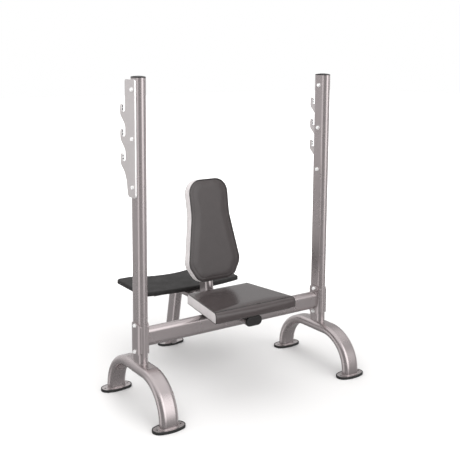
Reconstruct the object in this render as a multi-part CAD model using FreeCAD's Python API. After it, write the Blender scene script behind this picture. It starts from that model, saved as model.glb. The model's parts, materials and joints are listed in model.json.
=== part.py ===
import FreeCAD
import Part
import math
import os

# Seated shoulder-press bench with a bar rack and a spotter's step.
# Millimetres, +Z up. X runs from upright to upright and +Y from the sitter's front to the rear.
# The model is built with the uprights on Y = 0, then moved so that its origin is on the floor
# at the middle of its footprint.

V = FreeCAD.Vector
ORIGIN = V(0, 0, 0)

# flat-oval frame tube, and plates
TUBE_WIDE = 100.0
TUBE_NARROW = 50.0
TUBE_WALL = 3.0
TUBE_R = TUBE_NARROW / 2

# feet: a steel plate lying in a rubber tray
FOOT_LENGTH = 166.0
FOOT_WIDTH = 82.0
FOOT_END_R = 33.0
FOOT_PLATE = 6.0
FOOT_HOLE_SPACING = 132.0
FOOT_HOLE_R = 5.5
TRAY_RIM = 5.0
TRAY_FLOOR = 6.0
TRAY_LIP = 1.0
TRAY_GAP = 0.3
TRAY_EDGE_R = 1.5
FOOT_TOP = TRAY_FLOOR + FOOT_PLATE

# arched legs
UPRIGHT_X = 590.0
LEG_REACH = 276.0
LEG_BEND_R = 188.0
LEG_TOP = 243.0
LEG_BEND_Z = LEG_TOP - TUBE_R - LEG_BEND_R

# uprights
UPRIGHT_TOP = 1670.0
CAP_RECESS_DEPTH = 14.0
CAP_RISE = 9.5
CAP_RIM = 2.0

# crossbeam and the saddles that clamp it to the uprights
BEAM_Z = 369.0
SADDLE_THICK = 6.0
SADDLE_HALF_WIDTH = 46.0
SADDLE_HALF_HEIGHT = 86.0
SADDLE_ARCH = 19.0
SADDLE_BOLT_OFFSET = 68.0
BEAM_END_X = UPRIGHT_X - TUBE_R - SADDLE_THICK

# frame fasteners, M10
BOLT_R = 5.0
BOLT_HOLE_R = 5.5
BOLT_FLATS = 17.0
BOLT_HEAD = 6.4
NUT_HEIGHT = 8.0
WASHER_R = 10.5
WASHER_THICK = 1.6
THREAD_SHOWING = 3.0
HEX_CORNER_SOFTENING = 0.56

# hook plates
PLATE_THICK = 10.0
PLATE_REAR_Y = 75.0
PLATE_FRONT_Y = -25.0
PLATE_TOP = 1662.0
PLATE_BOTTOM = 1084.0
PLATE_TOP_R = 10.0
PLATE_TOE_Y = 52.0
PLATE_TOE_FRONT_R = 14.0
PLATE_TOE_REAR_R = 20.0
PLATE_EDGE_R = 1.0
HOOK_TIP_TOP = 1540.0
HOOK_PITCH = 123.0
HOOK_COUNT = 3
SLOT_WIDTH = 34.0
SLOT_DEPTH = 37.0
SLOT_REAR_R = 5.0
SLOT_FRONT_R = 16.0
TIP_WIDTH = 12.0
TIP_R = 4.5
ARM_REAR_Y = 128.5
# below each tip: where the arm's outer edge starts and ends, and where it runs back into the plate
ARM_SHOULDER_DROP = 20.0
ARM_SHOULDER_R = 22.0
ARM_ELBOW_DROP = 52.0
ARM_ELBOW_R = 28.0
ARM_ROOT_DROP = 104.0
ARM_ROOT_R = 34.0
# below the lowest tip the edge runs out in two easy bends instead
LAST_BENDS = ((84.0, 93.0, 40.0), (66.0, 130.0, 60.0))
PLATE_BOLTS_Z = (1137.0, 1375.0, 1614.0)

# wear pads inside the hook arms, and their screws
LINER_THICK = 3.0
LINER_EDGE_R = 1.2
LINER_TOP_DROP = 5.0
LINER_BOTTOM_DROP = 31.0
SCREW_R = 2.0
SCREW_HEAD_R = 3.6
SCREW_HEAD_THICK = 1.2
SCREW_LENGTH = 12.0
SCREW_DROPS = (11.0, 26.0)

# spine under the seat, and the rear leg
SPINE_TOP = BEAM_Z + TUBE_WIDE / 2
SPINE_FRONT_Y = -158.0
SPINE_REAR_Y = 678.0
SPINE_CAP_THICK = 12.0
SPINE_CAP_R = 8.0
SPINE_CAP_OVERHANG = 2.0
REAR_LEG_LEAN = 11.0
REAR_FOOT_Y = 692.0

# seat
SEAT_FRONT_Y = -192.0
SEAT_REAR_Y = 175.0
SEAT_FRONT_HALF = 261.0
SEAT_REAR_HALF = 201.0
SEAT_TOP = 488.0
SEAT_BOTTOM = 427.0
SEAT_NOSE_R = 24.0
SEAT_UNDER_NOSE_R = 12.0
SEAT_REAR_R = 6.0
SEAT_PANEL_THICK = 3.0
SEAT_BOARD_INSET = 14.0
BOARD_THICK = 12.0
SEAT_BAR_THICK = 6.0
SEAT_BAR_WIDTH = 50.0
SEAT_BAR_HALF_LENGTH = 150.0
SEAT_BARS_Y = {"front": -100.0, "rear": 115.0}
SEAT_BOLT_X = 115.0

# back pad: its own frame has x across, y up along the pad and z out of its front face
BACK_TILT = 10.0
BACK_ORIGIN = V(0, 200.0, 640.0)
BACK_THICK = 50.0
BACK_TOP = 460.0
BACK_BOTTOM = -112.0
BACK_SHOULDER_HALF = 131.0
BACK_SHOULDER_R = 80.0
BACK_WAIST_HALF = 127.5
BACK_WAIST = 258.0
BACK_WAIST_R = 260.0
BACK_HIP_HALF = 174.0
BACK_HIP = -14.0
BACK_HIP_R = 70.0
BACK_HEEL_HALF = 117.0
BACK_HEEL_R = 75.0
BACK_FACE_R = 8.0
BAND_THICK = 2.5
BAND_FRONT_GAP = 9.0
BAND_REAR_GAP = 1.0
BACK_BOARD_INSET = 12.0
BACK_BAR_THICK = 6.0
BACK_BAR_WIDTH = 50.0
BACK_BAR_HALF_LENGTH = 85.0
BACK_BARS = {"lower": 35.0, "upper": 265.0}
BACK_BOLT_X = 62.0
POST_LENGTH = 560.0
POST_BEHIND = BACK_THICK + BOARD_THICK + BACK_BAR_THICK + TUBE_WIDE / 2

# spotter's step
STEP_HALF_WIDTH = 336.0
STEP_BOTTOM = SPINE_TOP
STEP_TOP = 443.0
STEP_FRONT_Y = 394.0
STEP_FRONT_SWEEP = 38.0
STEP_REAR_Y = 775.0
STEP_NOTCH_Y = 704.0
STEP_NOTCH_HALF = 240.0
STEP_CORNER_R = 30.0
STEP_NOTCH_CORNER_R = 55.0
STEP_EDGE_R = 9.0
STEP_MAT_LIFT = 0.5
STEP_BOARD_INSET = 8.0
ARM_BARS_Y = {"front": 500.0, "rear": 640.0}
ARM_BAR_WIDTH = 40.0
ARM_BAR_HEIGHT = 25.0
ARM_BAR_END_X = 235.0
STEP_BOLT_X = 190.0

# pad and step fasteners, M8
PAD_BOLT_R = 4.0
PAD_BOLT_HOLE_R = 4.3
PAD_BOLT_FLATS = 13.0
PAD_BOLT_HEAD = 5.3
PAD_BOLT_GRIP = 9.0
TEE_NUT_R = 10.0
TEE_NUT_FLANGE = 1.5
TEE_NUT_BARREL_R = 5.2

# the middle of the footprint, from the front feet's toes to the step's rear corners
FOOTPRINT_FRONT = -LEG_REACH - FOOT_WIDTH / 2 - TRAY_RIM
FOOTPRINT_MIDDLE = (FOOTPRINT_FRONT + STEP_REAR_Y) / 2

# two points this close count as one
TOUCH = 1e-3

SIDES = {"left": -1, "right": 1}
nodes = {}


# ---- basic shapes ----

def corner_arc(before, corner, after, radius):
    """Ends and middle of the arc that rounds one corner of an outline."""
    to_before = (before - corner).normalize()
    to_after = (after - corner).normalize()
    half_angle = to_before.getAngle(to_after) / 2
    setback = radius / math.tan(half_angle)
    bisector = (to_before + to_after).normalize()
    centre = corner + bisector * (radius / math.sin(half_angle))
    return corner + to_before * setback, centre - bisector * radius, corner + to_after * setback


def rounded_face(corners):
    """Face in the XY plane from (x, y, corner radius) points; a radius of 0 is a sharp corner."""
    points = [V(x, y, 0) for x, y, radius in corners]
    edges = []
    ends = []
    for i, (x, y, radius) in enumerate(corners):
        if radius > 0:
            start, middle, end = corner_arc(points[i - 1], points[i], points[(i + 1) % len(points)], radius)
            edges.append(Part.Arc(start, middle, end).toShape())
        else:
            start = end = points[i]
        ends.append((start, end))
    for i, (start, end) in enumerate(ends):
        previous_end = ends[i - 1][1]
        if previous_end.distanceToPoint(start) > TOUCH:
            edges.append(Part.LineSegment(previous_end, start).toShape())
    return Part.Face(Part.Wire(Part.__sortEdges__(edges)))


def flat_oval(long_side, short_side):
    """Flat-oval face in the XY plane, its long side along X."""
    r = short_side / 2
    h = long_side / 2 - r
    edges = [
        Part.LineSegment(V(-h, r, 0), V(h, r, 0)),
        Part.Arc(V(h, r, 0), V(h + r, 0, 0), V(h, -r, 0)),
        Part.LineSegment(V(h, -r, 0), V(-h, -r, 0)),
        Part.Arc(V(-h, -r, 0), V(-h - r, 0, 0), V(-h, r, 0)),
    ]
    return Part.Face(Part.Wire([edge.toShape() for edge in edges]))


def tube_outer():
    return flat_oval(TUBE_WIDE, TUBE_NARROW)


def tube_inner():
    return flat_oval(TUBE_WIDE - 2 * TUBE_WALL, TUBE_NARROW - 2 * TUBE_WALL)


def tube_ring():
    return tube_outer().cut(tube_inner()).Faces[0]


def turned(shape, axis, degrees):
    return shape.rotated(ORIGIN, axis, degrees)


def moved(shape, x=0.0, y=0.0, z=0.0):
    return shape.translated(V(x, y, z))


def mirrored(shape):
    return shape.mirror(ORIGIN, V(1, 0, 0))


def on_side(shape, side):
    """A shape built for the right-hand (+X) side, put on the side asked for."""
    return shape if side == "right" else mirrored(shape)


def in_yz(shape):
    """Turn a shape drawn in XY so that its x runs along Y, its y along Z and its z along X."""
    return turned(shape, V(1, 1, 1), 120)


def box(x0, x1, y0, y1, z0, z1):
    return Part.makeBox(x1 - x0, y1 - y0, z1 - z0, V(x0, y0, z0))


def rod_x(radius, x0, x1, y, z):
    return Part.makeCylinder(radius, x1 - x0, V(x0, y, z), V(1, 0, 0))


def fillet_where(shape, radius, wanted):
    """Round the edges whose middle point the test picks out."""
    edges = [edge for edge in shape.Edges if wanted(edge)]
    return shape.makeFillet(radius, edges)


def middle(edge):
    return edge.valueAt((edge.FirstParameter + edge.LastParameter) / 2)


def is_level(edge, z):
    points = [vertex.Point for vertex in edge.Vertexes] + [middle(edge)]
    return all(abs(point.z - z) < TOUCH for point in points)


def at_height(z):
    return lambda edge: is_level(edge, z)


def arc_radius(half_chord, rise):
    return (half_chord ** 2 + rise ** 2) / (2 * rise)


def one_solid(shape):
    solids = shape.removeSplitter().Solids
    return solids[0]


def together(shapes):
    return Part.makeCompound(shapes)


# ---- fasteners, all along +X with their bearing face at x = 0 ----

def hexagon(flats, height):
    corner = flats / math.sqrt(3)
    points = [V(0, corner * math.cos(k * math.pi / 3), corner * math.sin(k * math.pi / 3)) for k in range(7)]
    prism = Part.Face(Part.makePolygon(points)).extrude(V(height, 0, 0))
    return prism.common(rod_x(flats * HEX_CORNER_SOFTENING, 0, height, 0, 0))


def hex_bolt(radius, flats, head, length):
    """Head on the +X side, shank running back to -length."""
    return one_solid(hexagon(flats, head).fuse(rod_x(radius, -length, 0, 0, 0)))


def washer(radius, hole):
    return rod_x(radius, 0, WASHER_THICK, 0, 0).cut(rod_x(hole, 0, WASHER_THICK, 0, 0))


def nut(radius, flats, height):
    return hexagon(flats, height).cut(rod_x(radius, 0, height, 0, 0))


def through_bolt(outer_x, inner_x, y, z):
    """Bolt, two washers and a nut across one upright; the head is on the outer side."""
    head_x = outer_x + WASHER_THICK
    nut_x = inner_x - WASHER_THICK - NUT_HEIGHT
    bolt = hex_bolt(BOLT_R, BOLT_FLATS, BOLT_HEAD, head_x - nut_x + THREAD_SHOWING)
    return {
        "bolt": moved(bolt, head_x, y, z),
        "washers": [
            moved(washer(WASHER_R, BOLT_HOLE_R), outer_x, y, z),
            moved(washer(WASHER_R, BOLT_HOLE_R), inner_x - WASHER_THICK, y, z),
        ],
        "nut": moved(nut(BOLT_R, BOLT_FLATS, NUT_HEIGHT), nut_x, y, z),
    }


def fastener_groups(prefix, sets):
    """Both sides' bolts, washers and nuts, as one group of each kind."""
    nodes[prefix + "_bolts"] = together([on_side(one["bolt"], side) for one in sets for side in SIDES])
    nodes[prefix + "_nuts"] = together([on_side(one["nut"], side) for one in sets for side in SIDES])
    washers = [part for one in sets for part in one["washers"]]
    nodes[prefix + "_washers"] = together([on_side(part, side) for part in washers for side in SIDES])


# ---- feet and legs ----

def foot_oval(margin, height):
    """Oval of four tangent arcs, a margin larger than the plate all round."""
    half = FOOT_WIDTH / 2 + margin
    end_r = FOOT_END_R + margin
    end_x = FOOT_LENGTH / 2 - FOOT_END_R
    spare = half - end_r
    back_off = (end_x ** 2 - spare ** 2) / (2 * spare)
    lean = math.atan2(back_off, end_x)
    join = V(end_x + end_r * math.cos(lean), end_r * math.sin(lean), 0)
    corners = [V(join.x, join.y, 0), V(-join.x, join.y, 0), V(-join.x, -join.y, 0), V(join.x, -join.y, 0)]
    tops = [V(0, half, 0), V(-end_x - end_r, 0, 0), V(0, -half, 0), V(end_x + end_r, 0, 0)]
    ends = corners[1:] + corners[:1]
    arcs = [Part.Arc(start, top, end).toShape() for start, top, end in zip(corners, tops, ends)]
    return Part.Face(Part.Wire(arcs)).extrude(V(0, 0, height))


def foot_plate(x, y):
    return moved(foot_oval(0, FOOT_PLATE).cut(foot_holes()), x, y, TRAY_FLOOR)


def foot_holes():
    holes = [Part.makeCylinder(FOOT_HOLE_R, 2 * FOOT_TOP, V(sign * FOOT_HOLE_SPACING / 2, 0, 0))
             for sign in SIDES.values()]
    return together(holes)


def rubber_foot(x, y):
    height = FOOT_TOP + TRAY_LIP
    outer = fillet_where(foot_oval(TRAY_RIM, height), TRAY_EDGE_R, at_height(height))
    pocket = foot_oval(TRAY_GAP, height)
    return moved(outer.cut(moved(pocket, z=TRAY_FLOOR)).cut(foot_holes()), x, y)


def arch(section):
    """One section swept up the front leg, round both bends and down the rear leg."""
    start = moved(section, y=-LEG_REACH, z=FOOT_TOP)
    leg = start.extrude(V(0, 0, LEG_BEND_Z - FOOT_TOP))
    bend_start = moved(section, y=-LEG_REACH, z=LEG_BEND_Z)
    bend = bend_start.revolve(V(0, -LEG_REACH + LEG_BEND_R, LEG_BEND_Z), V(-1, 0, 0), 90)
    crown_start = moved(turned(section, V(1, 0, 0), 90), y=-LEG_REACH + LEG_BEND_R, z=LEG_TOP - TUBE_R)
    crown = crown_start.extrude(V(0, LEG_REACH - LEG_BEND_R, 0))
    front = leg.fuse([bend, crown])
    return one_solid(front.fuse(front.mirror(ORIGIN, V(0, 1, 0))))


def build_legs():
    leg_arch = moved(arch(tube_outer()).cut(arch(tube_inner())), UPRIGHT_X)
    for side, sign in SIDES.items():
        nodes["leg_arch_" + side] = on_side(leg_arch, side)
        for end, y in (("front", -LEG_REACH), ("rear", LEG_REACH)):
            nodes["foot_plate_%s_%s" % (end, side)] = foot_plate(sign * UPRIGHT_X, y)
            nodes["rubber_foot_%s_%s" % (end, side)] = rubber_foot(sign * UPRIGHT_X, y)


# ---- uprights and their caps ----

def cap_skirt():
    """The part of a plug that goes into the tube, below z = 0."""
    return moved(tube_inner().extrude(V(0, 0, CAP_RECESS_DEPTH)), z=-CAP_RECESS_DEPTH)


def end_cap(overhang, height, edge_r):
    """Round-edged plug for a tube end: flat oval in XY, its face towards +Z."""
    button = flat_oval(TUBE_WIDE + 2 * overhang, TUBE_NARROW + 2 * overhang).extrude(V(0, 0, height))
    button = fillet_where(button, edge_r, at_height(height))
    return one_solid(button.fuse(cap_skirt()))


def domed_cap():
    """Plug flush with the tube's sides: a thin rim under a low dome that falls away to both ends."""
    dome_r = arc_radius(TUBE_WIDE / 2, CAP_RISE - CAP_RIM)
    ball = Part.makeSphere(dome_r, V(0, 0, CAP_RISE - dome_r))
    dome = tube_outer().extrude(V(0, 0, CAP_RISE)).common(ball)
    return one_solid(dome.fuse(cap_skirt()))


def bolt_holes_x(heights):
    holes = [rod_x(BOLT_HOLE_R, UPRIGHT_X - TUBE_WIDE, UPRIGHT_X + TUBE_WIDE, 0, z) for z in heights]
    return together(holes)


def saddle_bolt_heights():
    return (BEAM_Z - SADDLE_BOLT_OFFSET, BEAM_Z + SADDLE_BOLT_OFFSET)


def build_uprights():
    section = turned(tube_ring(), V(0, 0, 1), 90)
    upright = moved(section, UPRIGHT_X, 0, LEG_TOP).extrude(V(0, 0, UPRIGHT_TOP - LEG_TOP))
    upright = upright.cut(bolt_holes_x(PLATE_BOLTS_Z)).cut(bolt_holes_x(saddle_bolt_heights()))
    cap = moved(turned(domed_cap(), V(0, 0, 1), 90), UPRIGHT_X, 0, UPRIGHT_TOP)
    for side in SIDES:
        nodes["upright_" + side] = on_side(one_solid(upright), side)
        nodes["upright_cap_" + side] = on_side(cap, side)


# ---- crossbeam and saddles ----

def beam_outer():
    section = in_yz(turned(tube_outer(), V(0, 0, 1), 90))
    return moved(section, -BEAM_END_X, 0, BEAM_Z).extrude(V(2 * BEAM_END_X, 0, 0))


def saddle():
    """Outer half of a sleeve round the upright, cut to an arched shape top and bottom."""
    sleeve = flat_oval(TUBE_WIDE + 2 * SADDLE_THICK, TUBE_NARROW + 2 * SADDLE_THICK).cut(tube_outer())
    sleeve = turned(sleeve.extrude(V(0, 0, 2 * SADDLE_HALF_HEIGHT)), V(0, 0, 1), 90)
    sleeve = moved(sleeve, z=-SADDLE_HALF_HEIGHT)
    shoulder = SADDLE_HALF_HEIGHT - SADDLE_ARCH
    half = SADDLE_HALF_WIDTH
    top = Part.Arc(V(-half, shoulder, 0), V(0, SADDLE_HALF_HEIGHT, 0), V(half, shoulder, 0))
    right = Part.LineSegment(V(half, shoulder, 0), V(half, -shoulder, 0))
    bottom = Part.Arc(V(half, -shoulder, 0), V(0, -SADDLE_HALF_HEIGHT, 0), V(-half, -shoulder, 0))
    left = Part.LineSegment(V(-half, -shoulder, 0), V(-half, shoulder, 0))
    outline = Part.Face(Part.Wire([edge.toShape() for edge in (top, right, bottom, left)]))
    return one_solid(sleeve.common(in_yz(outline.extrude(V(0, 0, TUBE_WIDE)))))


def build_crossbeam():
    section = in_yz(turned(tube_ring(), V(0, 0, 1), 90))
    nodes["crossbeam"] = moved(section, -BEAM_END_X, 0, BEAM_Z).extrude(V(2 * BEAM_END_X, 0, 0))
    holes = bolt_holes_x(saddle_bolt_heights())
    outer = moved(saddle(), UPRIGHT_X, 0, BEAM_Z).cut(holes)
    inner = moved(mirrored(saddle()), UPRIGHT_X, 0, BEAM_Z).cut(holes)
    for side in SIDES:
        nodes["outer_saddle_" + side] = on_side(outer, side)
        nodes["inner_saddle_" + side] = on_side(inner, side)
    reach = TUBE_R + SADDLE_THICK
    sets = [through_bolt(UPRIGHT_X + reach, UPRIGHT_X - reach, 0, z) for z in saddle_bolt_heights()]
    fastener_groups("saddle", sets)


# ---- hook plates ----

def hook_tips():
    return [HOOK_TIP_TOP - k * HOOK_PITCH for k in range(HOOK_COUNT)]


def hook_corners(tip, is_lowest):
    """Outline of one slot and hook arm, from the plate's rear edge down to below the arm."""
    arm_y = PLATE_REAR_Y + SLOT_WIDTH + LINER_THICK
    bottom = tip - SLOT_DEPTH
    corners = [
        (PLATE_REAR_Y, bottom, SLOT_FRONT_R),
        (arm_y, bottom, SLOT_REAR_R),
        (arm_y, tip, 0),
        (arm_y + TIP_WIDTH, tip, TIP_R),
        (ARM_REAR_Y, tip - ARM_SHOULDER_DROP, ARM_SHOULDER_R),
        (ARM_REAR_Y, tip - ARM_ELBOW_DROP, ARM_ELBOW_R),
    ]
    if is_lowest:
        return corners + [(y, tip - drop, radius) for y, drop, radius in LAST_BENDS]
    return corners + [(PLATE_REAR_Y, tip - ARM_ROOT_DROP, ARM_ROOT_R)]


def hook_plate():
    corners = [(PLATE_FRONT_Y, PLATE_BOTTOM, PLATE_TOE_FRONT_R), (PLATE_FRONT_Y, PLATE_TOP, PLATE_TOP_R),
               (PLATE_REAR_Y, PLATE_TOP, PLATE_TOP_R)]
    for tip in hook_tips():
        corners += hook_corners(tip, tip == hook_tips()[-1])
    corners += [(PLATE_TOE_Y, PLATE_BOTTOM, PLATE_TOE_REAR_R)]
    plate = in_yz(rounded_face(corners).extrude(V(0, 0, PLATE_THICK)))
    edges = [edge for edge in plate.Edges if abs(edge.Vertexes[0].X - edge.Vertexes[-1].X) < TOUCH]
    plate = plate.makeFillet(PLATE_EDGE_R, edges)
    return moved(plate, UPRIGHT_X + TUBE_R)


def slot_liner(tip):
    """Wear pad on the hook arm's inner face."""
    y0 = PLATE_REAR_Y + SLOT_WIDTH
    pad = box(0, PLATE_THICK, y0, y0 + LINER_THICK, tip - LINER_BOTTOM_DROP, tip - LINER_TOP_DROP)
    pad = fillet_where(pad, LINER_EDGE_R, lambda edge: abs(middle(edge).y - y0) < TOUCH)
    return moved(pad, UPRIGHT_X + TUBE_R)


def liner_screw(tip, drop):
    """Screw from the slot into the hook arm, its head on the wear pad."""
    x = UPRIGHT_X + TUBE_R + PLATE_THICK / 2
    face_y = PLATE_REAR_Y + SLOT_WIDTH
    z = tip - drop
    head = Part.makeCylinder(SCREW_HEAD_R, SCREW_HEAD_THICK, V(x, face_y - SCREW_HEAD_THICK, z), V(0, 1, 0))
    shank = Part.makeCylinder(SCREW_R, SCREW_LENGTH, V(x, face_y, z), V(0, 1, 0))
    return one_solid(head.fuse(shank))


def build_hooks():
    screws = [liner_screw(tip, drop) for tip in hook_tips() for drop in SCREW_DROPS]
    plate = one_solid(hook_plate().cut(bolt_holes_x(PLATE_BOLTS_Z)).cut(together(screws)))
    liners = [one_solid(slot_liner(tip).cut(together(screws))) for tip in hook_tips()]
    for side in SIDES:
        nodes["hook_plate_" + side] = on_side(plate, side)
        nodes["slot_liners_" + side] = together([on_side(liner, side) for liner in liners])
    nodes["liner_screws"] = together([on_side(screw, side) for side in SIDES for screw in screws])
    outer_x = UPRIGHT_X + TUBE_R + PLATE_THICK
    sets = [through_bolt(outer_x, UPRIGHT_X - TUBE_R, 0, z) for z in PLATE_BOLTS_Z]
    fastener_groups("hook_plate", sets)


# ---- spine and rear leg ----

def spine_run(y0, y1):
    section = moved(turned(tube_ring(), V(1, 0, 0), 90), 0, y0, SPINE_TOP - TUBE_R)
    return one_solid(section.extrude(V(0, y1 - y0, 0)).cut(beam_outer()))


def spine_cap(y, facing, overhang):
    """Plug in one end of the spine; facing is -1 for the front end and 1 for the rear."""
    cap = turned(end_cap(overhang, SPINE_CAP_THICK, SPINE_CAP_R), V(1, 0, 0), -90 * facing)
    return moved(cap, 0, y, SPINE_TOP - TUBE_R)


def build_spine():
    nodes["spine_front"] = spine_run(SPINE_FRONT_Y, 0)
    nodes["spine_rear"] = spine_run(0, SPINE_REAR_Y)
    nodes["spine_cap_front"] = spine_cap(SPINE_FRONT_Y, -1, SPINE_CAP_OVERHANG)
    nodes["spine_cap_rear"] = spine_cap(SPINE_REAR_Y, 1, 0.0)
    spine_under = SPINE_TOP - TUBE_NARROW
    section = turned(tube_ring(), V(0, 0, 1), 90)
    long_leg = moved(section, z=-TUBE_WIDE).extrude(V(0, 0, spine_under + 2 * TUBE_WIDE))
    long_leg = moved(turned(long_leg, V(1, 0, 0), REAR_LEG_LEAN), 0, REAR_FOOT_Y, FOOT_TOP)
    y0 = SPINE_REAR_Y - LEG_REACH
    y1 = SPINE_REAR_Y + LEG_REACH
    slab = box(-TUBE_WIDE, TUBE_WIDE, y0, y1, FOOT_TOP, spine_under)
    nodes["rear_leg"] = one_solid(long_leg.common(slab))
    nodes["foot_plate_rear_leg"] = foot_plate(0, REAR_FOOT_Y)
    nodes["rubber_foot_rear_leg"] = rubber_foot(0, REAR_FOOT_Y)


# ---- seat ----

def seat_outline(inset):
    """Seat plan, wider at the front; the inset narrows it sideways only."""
    front = SEAT_FRONT_HALF - inset
    rear = SEAT_REAR_HALF - inset
    return rounded_face([(-front, SEAT_FRONT_Y, 0), (front, SEAT_FRONT_Y, 0), (rear, SEAT_REAR_Y, 0),
                         (-rear, SEAT_REAR_Y, 0)])


def seat_edge(y, z):
    return lambda edge: abs(middle(edge).y - y) < TOUCH and abs(middle(edge).z - z) < TOUCH


def seat_board():
    front = SEAT_FRONT_HALF - SEAT_BOARD_INSET
    rear = SEAT_REAR_HALF - SEAT_BOARD_INSET
    y0 = SEAT_FRONT_Y + SEAT_BOARD_INSET
    y1 = SEAT_REAR_Y - SEAT_BOARD_INSET
    corner_r = SEAT_BOARD_INSET
    corners = [(-front, y0), (front, y0), (rear, y1), (-rear, y1)]
    outline = rounded_face([(x, y, corner_r) for x, y in corners])
    return moved(outline.extrude(V(0, 0, BOARD_THICK)), z=SPINE_TOP + SEAT_BAR_THICK)


def pad_bolt():
    """Bolt pointing up (+Z) with its head below z = 0."""
    length = SEAT_BAR_THICK + PAD_BOLT_GRIP
    return turned(hex_bolt(PAD_BOLT_R, PAD_BOLT_FLATS, PAD_BOLT_HEAD, length), V(0, 1, 0), 90)


def tee_nut():
    """Threaded barrel pointing down from a flange whose underside is at z = 0."""
    flange = Part.makeCylinder(TEE_NUT_R, TEE_NUT_FLANGE)
    barrel = Part.makeCylinder(TEE_NUT_BARREL_R, PAD_BOLT_GRIP, V(0, 0, -PAD_BOLT_GRIP))
    thread = Part.makeCylinder(PAD_BOLT_R, PAD_BOLT_GRIP + TEE_NUT_FLANGE, V(0, 0, -PAD_BOLT_GRIP))
    return flange.fuse(barrel).cut(thread)


def pad_bolt_hole(radius, z0, z1, x, y):
    return Part.makeCylinder(radius, z1 - z0, V(x, y, z0))


def build_seat():
    full = seat_outline(0).extrude(V(0, 0, SEAT_TOP - SEAT_BOTTOM))
    full = moved(full, z=SEAT_BOTTOM)
    full = fillet_where(full, SEAT_NOSE_R, seat_edge(SEAT_FRONT_Y, SEAT_TOP))
    full = fillet_where(full, SEAT_UNDER_NOSE_R, seat_edge(SEAT_FRONT_Y, SEAT_BOTTOM))
    full = fillet_where(full, SEAT_REAR_R, seat_edge(SEAT_REAR_Y, SEAT_TOP))
    core = seat_outline(SEAT_PANEL_THICK).extrude(V(0, 0, SEAT_TOP))
    spots = [(sign * SEAT_BOLT_X, y) for sign in SIDES.values() for y in SEAT_BARS_Y.values()]
    board_top = SPINE_TOP + SEAT_BAR_THICK + BOARD_THICK
    flanges = [moved(Part.makeCylinder(TEE_NUT_R, TEE_NUT_FLANGE), x, y, board_top) for x, y in spots]
    nodes["seat_cushion"] = one_solid(full.common(core).cut(seat_board()).cut(together(flanges)))
    for solid in full.cut(core).Solids:
        side = "right" if solid.CenterOfMass.x > 0 else "left"
        nodes["seat_side_panel_" + side] = solid
    barrels = [pad_bolt_hole(TEE_NUT_BARREL_R, SPINE_TOP, board_top, x, y) for x, y in spots]
    nodes["seat_board"] = one_solid(seat_board().cut(together(barrels)))
    holes = [pad_bolt_hole(PAD_BOLT_HOLE_R, 0, board_top, x, y) for x, y in spots]
    for end, y in SEAT_BARS_Y.items():
        bar = box(-SEAT_BAR_HALF_LENGTH, SEAT_BAR_HALF_LENGTH, y - SEAT_BAR_WIDTH / 2, y + SEAT_BAR_WIDTH / 2,
                  SPINE_TOP, SPINE_TOP + SEAT_BAR_THICK)
        nodes["seat_bar_" + end] = one_solid(bar.cut(together(holes)))
    nodes["seat_bolts"] = together([moved(pad_bolt(), x, y, SPINE_TOP) for x, y in spots])
    nodes["seat_tee_nuts"] = together([moved(tee_nut(), x, y, board_top) for x, y in spots])


# ---- back pad and its post ----

def back_outline():
    right = [
        (BACK_SHOULDER_HALF, BACK_TOP, BACK_SHOULDER_R),
        (BACK_WAIST_HALF, BACK_WAIST, BACK_WAIST_R),
        (BACK_HIP_HALF, BACK_HIP, BACK_HIP_R),
        (BACK_HEEL_HALF, BACK_BOTTOM, BACK_HEEL_R),
    ]
    left = [(-x, y, radius) for x, y, radius in reversed(right)]
    return rounded_face(right + left)


def back_slab(inset, z0, z1):
    outline = back_outline()
    face = outline if inset == 0 else Part.Face(outline.OuterWire.makeOffset2D(-inset))
    return moved(face.extrude(V(0, 0, z1 - z0)), z=z0)


def on_back(shape):
    """From the pad's own frame to the bench."""
    return turned(shape, V(1, 0, 0), 90 - BACK_TILT).translated(BACK_ORIGIN)


def build_back():
    cushion = back_slab(BAND_THICK, -BACK_THICK, 0)
    cushion = fillet_where(cushion, BACK_FACE_R, at_height(0))
    band_z = (-BACK_THICK + BAND_REAR_GAP, -BAND_FRONT_GAP)
    band = back_slab(0, *band_z).cut(back_slab(BAND_THICK, *band_z))
    board_z = -BACK_THICK - BOARD_THICK
    board = back_slab(BACK_BOARD_INSET, board_z, -BACK_THICK)
    spots = [(sign * BACK_BOLT_X, s) for sign in SIDES.values() for s in BACK_BARS.values()]
    bar_z = board_z - BACK_BAR_THICK
    holes = together([pad_bolt_hole(PAD_BOLT_HOLE_R, bar_z, -BACK_THICK, x, s) for x, s in spots])
    nodes["back_cushion"] = on_back(cushion)
    nodes["back_side_band"] = on_back(one_solid(band))
    nodes["back_board"] = on_back(one_solid(board.cut(holes)))
    for place, s in BACK_BARS.items():
        bar = box(-BACK_BAR_HALF_LENGTH, BACK_BAR_HALF_LENGTH, s - BACK_BAR_WIDTH / 2, s + BACK_BAR_WIDTH / 2,
                  bar_z, board_z)
        nodes["back_bar_" + place] = on_back(one_solid(bar.cut(holes)))
    nodes["back_bolts"] = on_back(together([moved(pad_bolt(), x, s, bar_z) for x, s in spots]))
    build_post()


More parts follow.
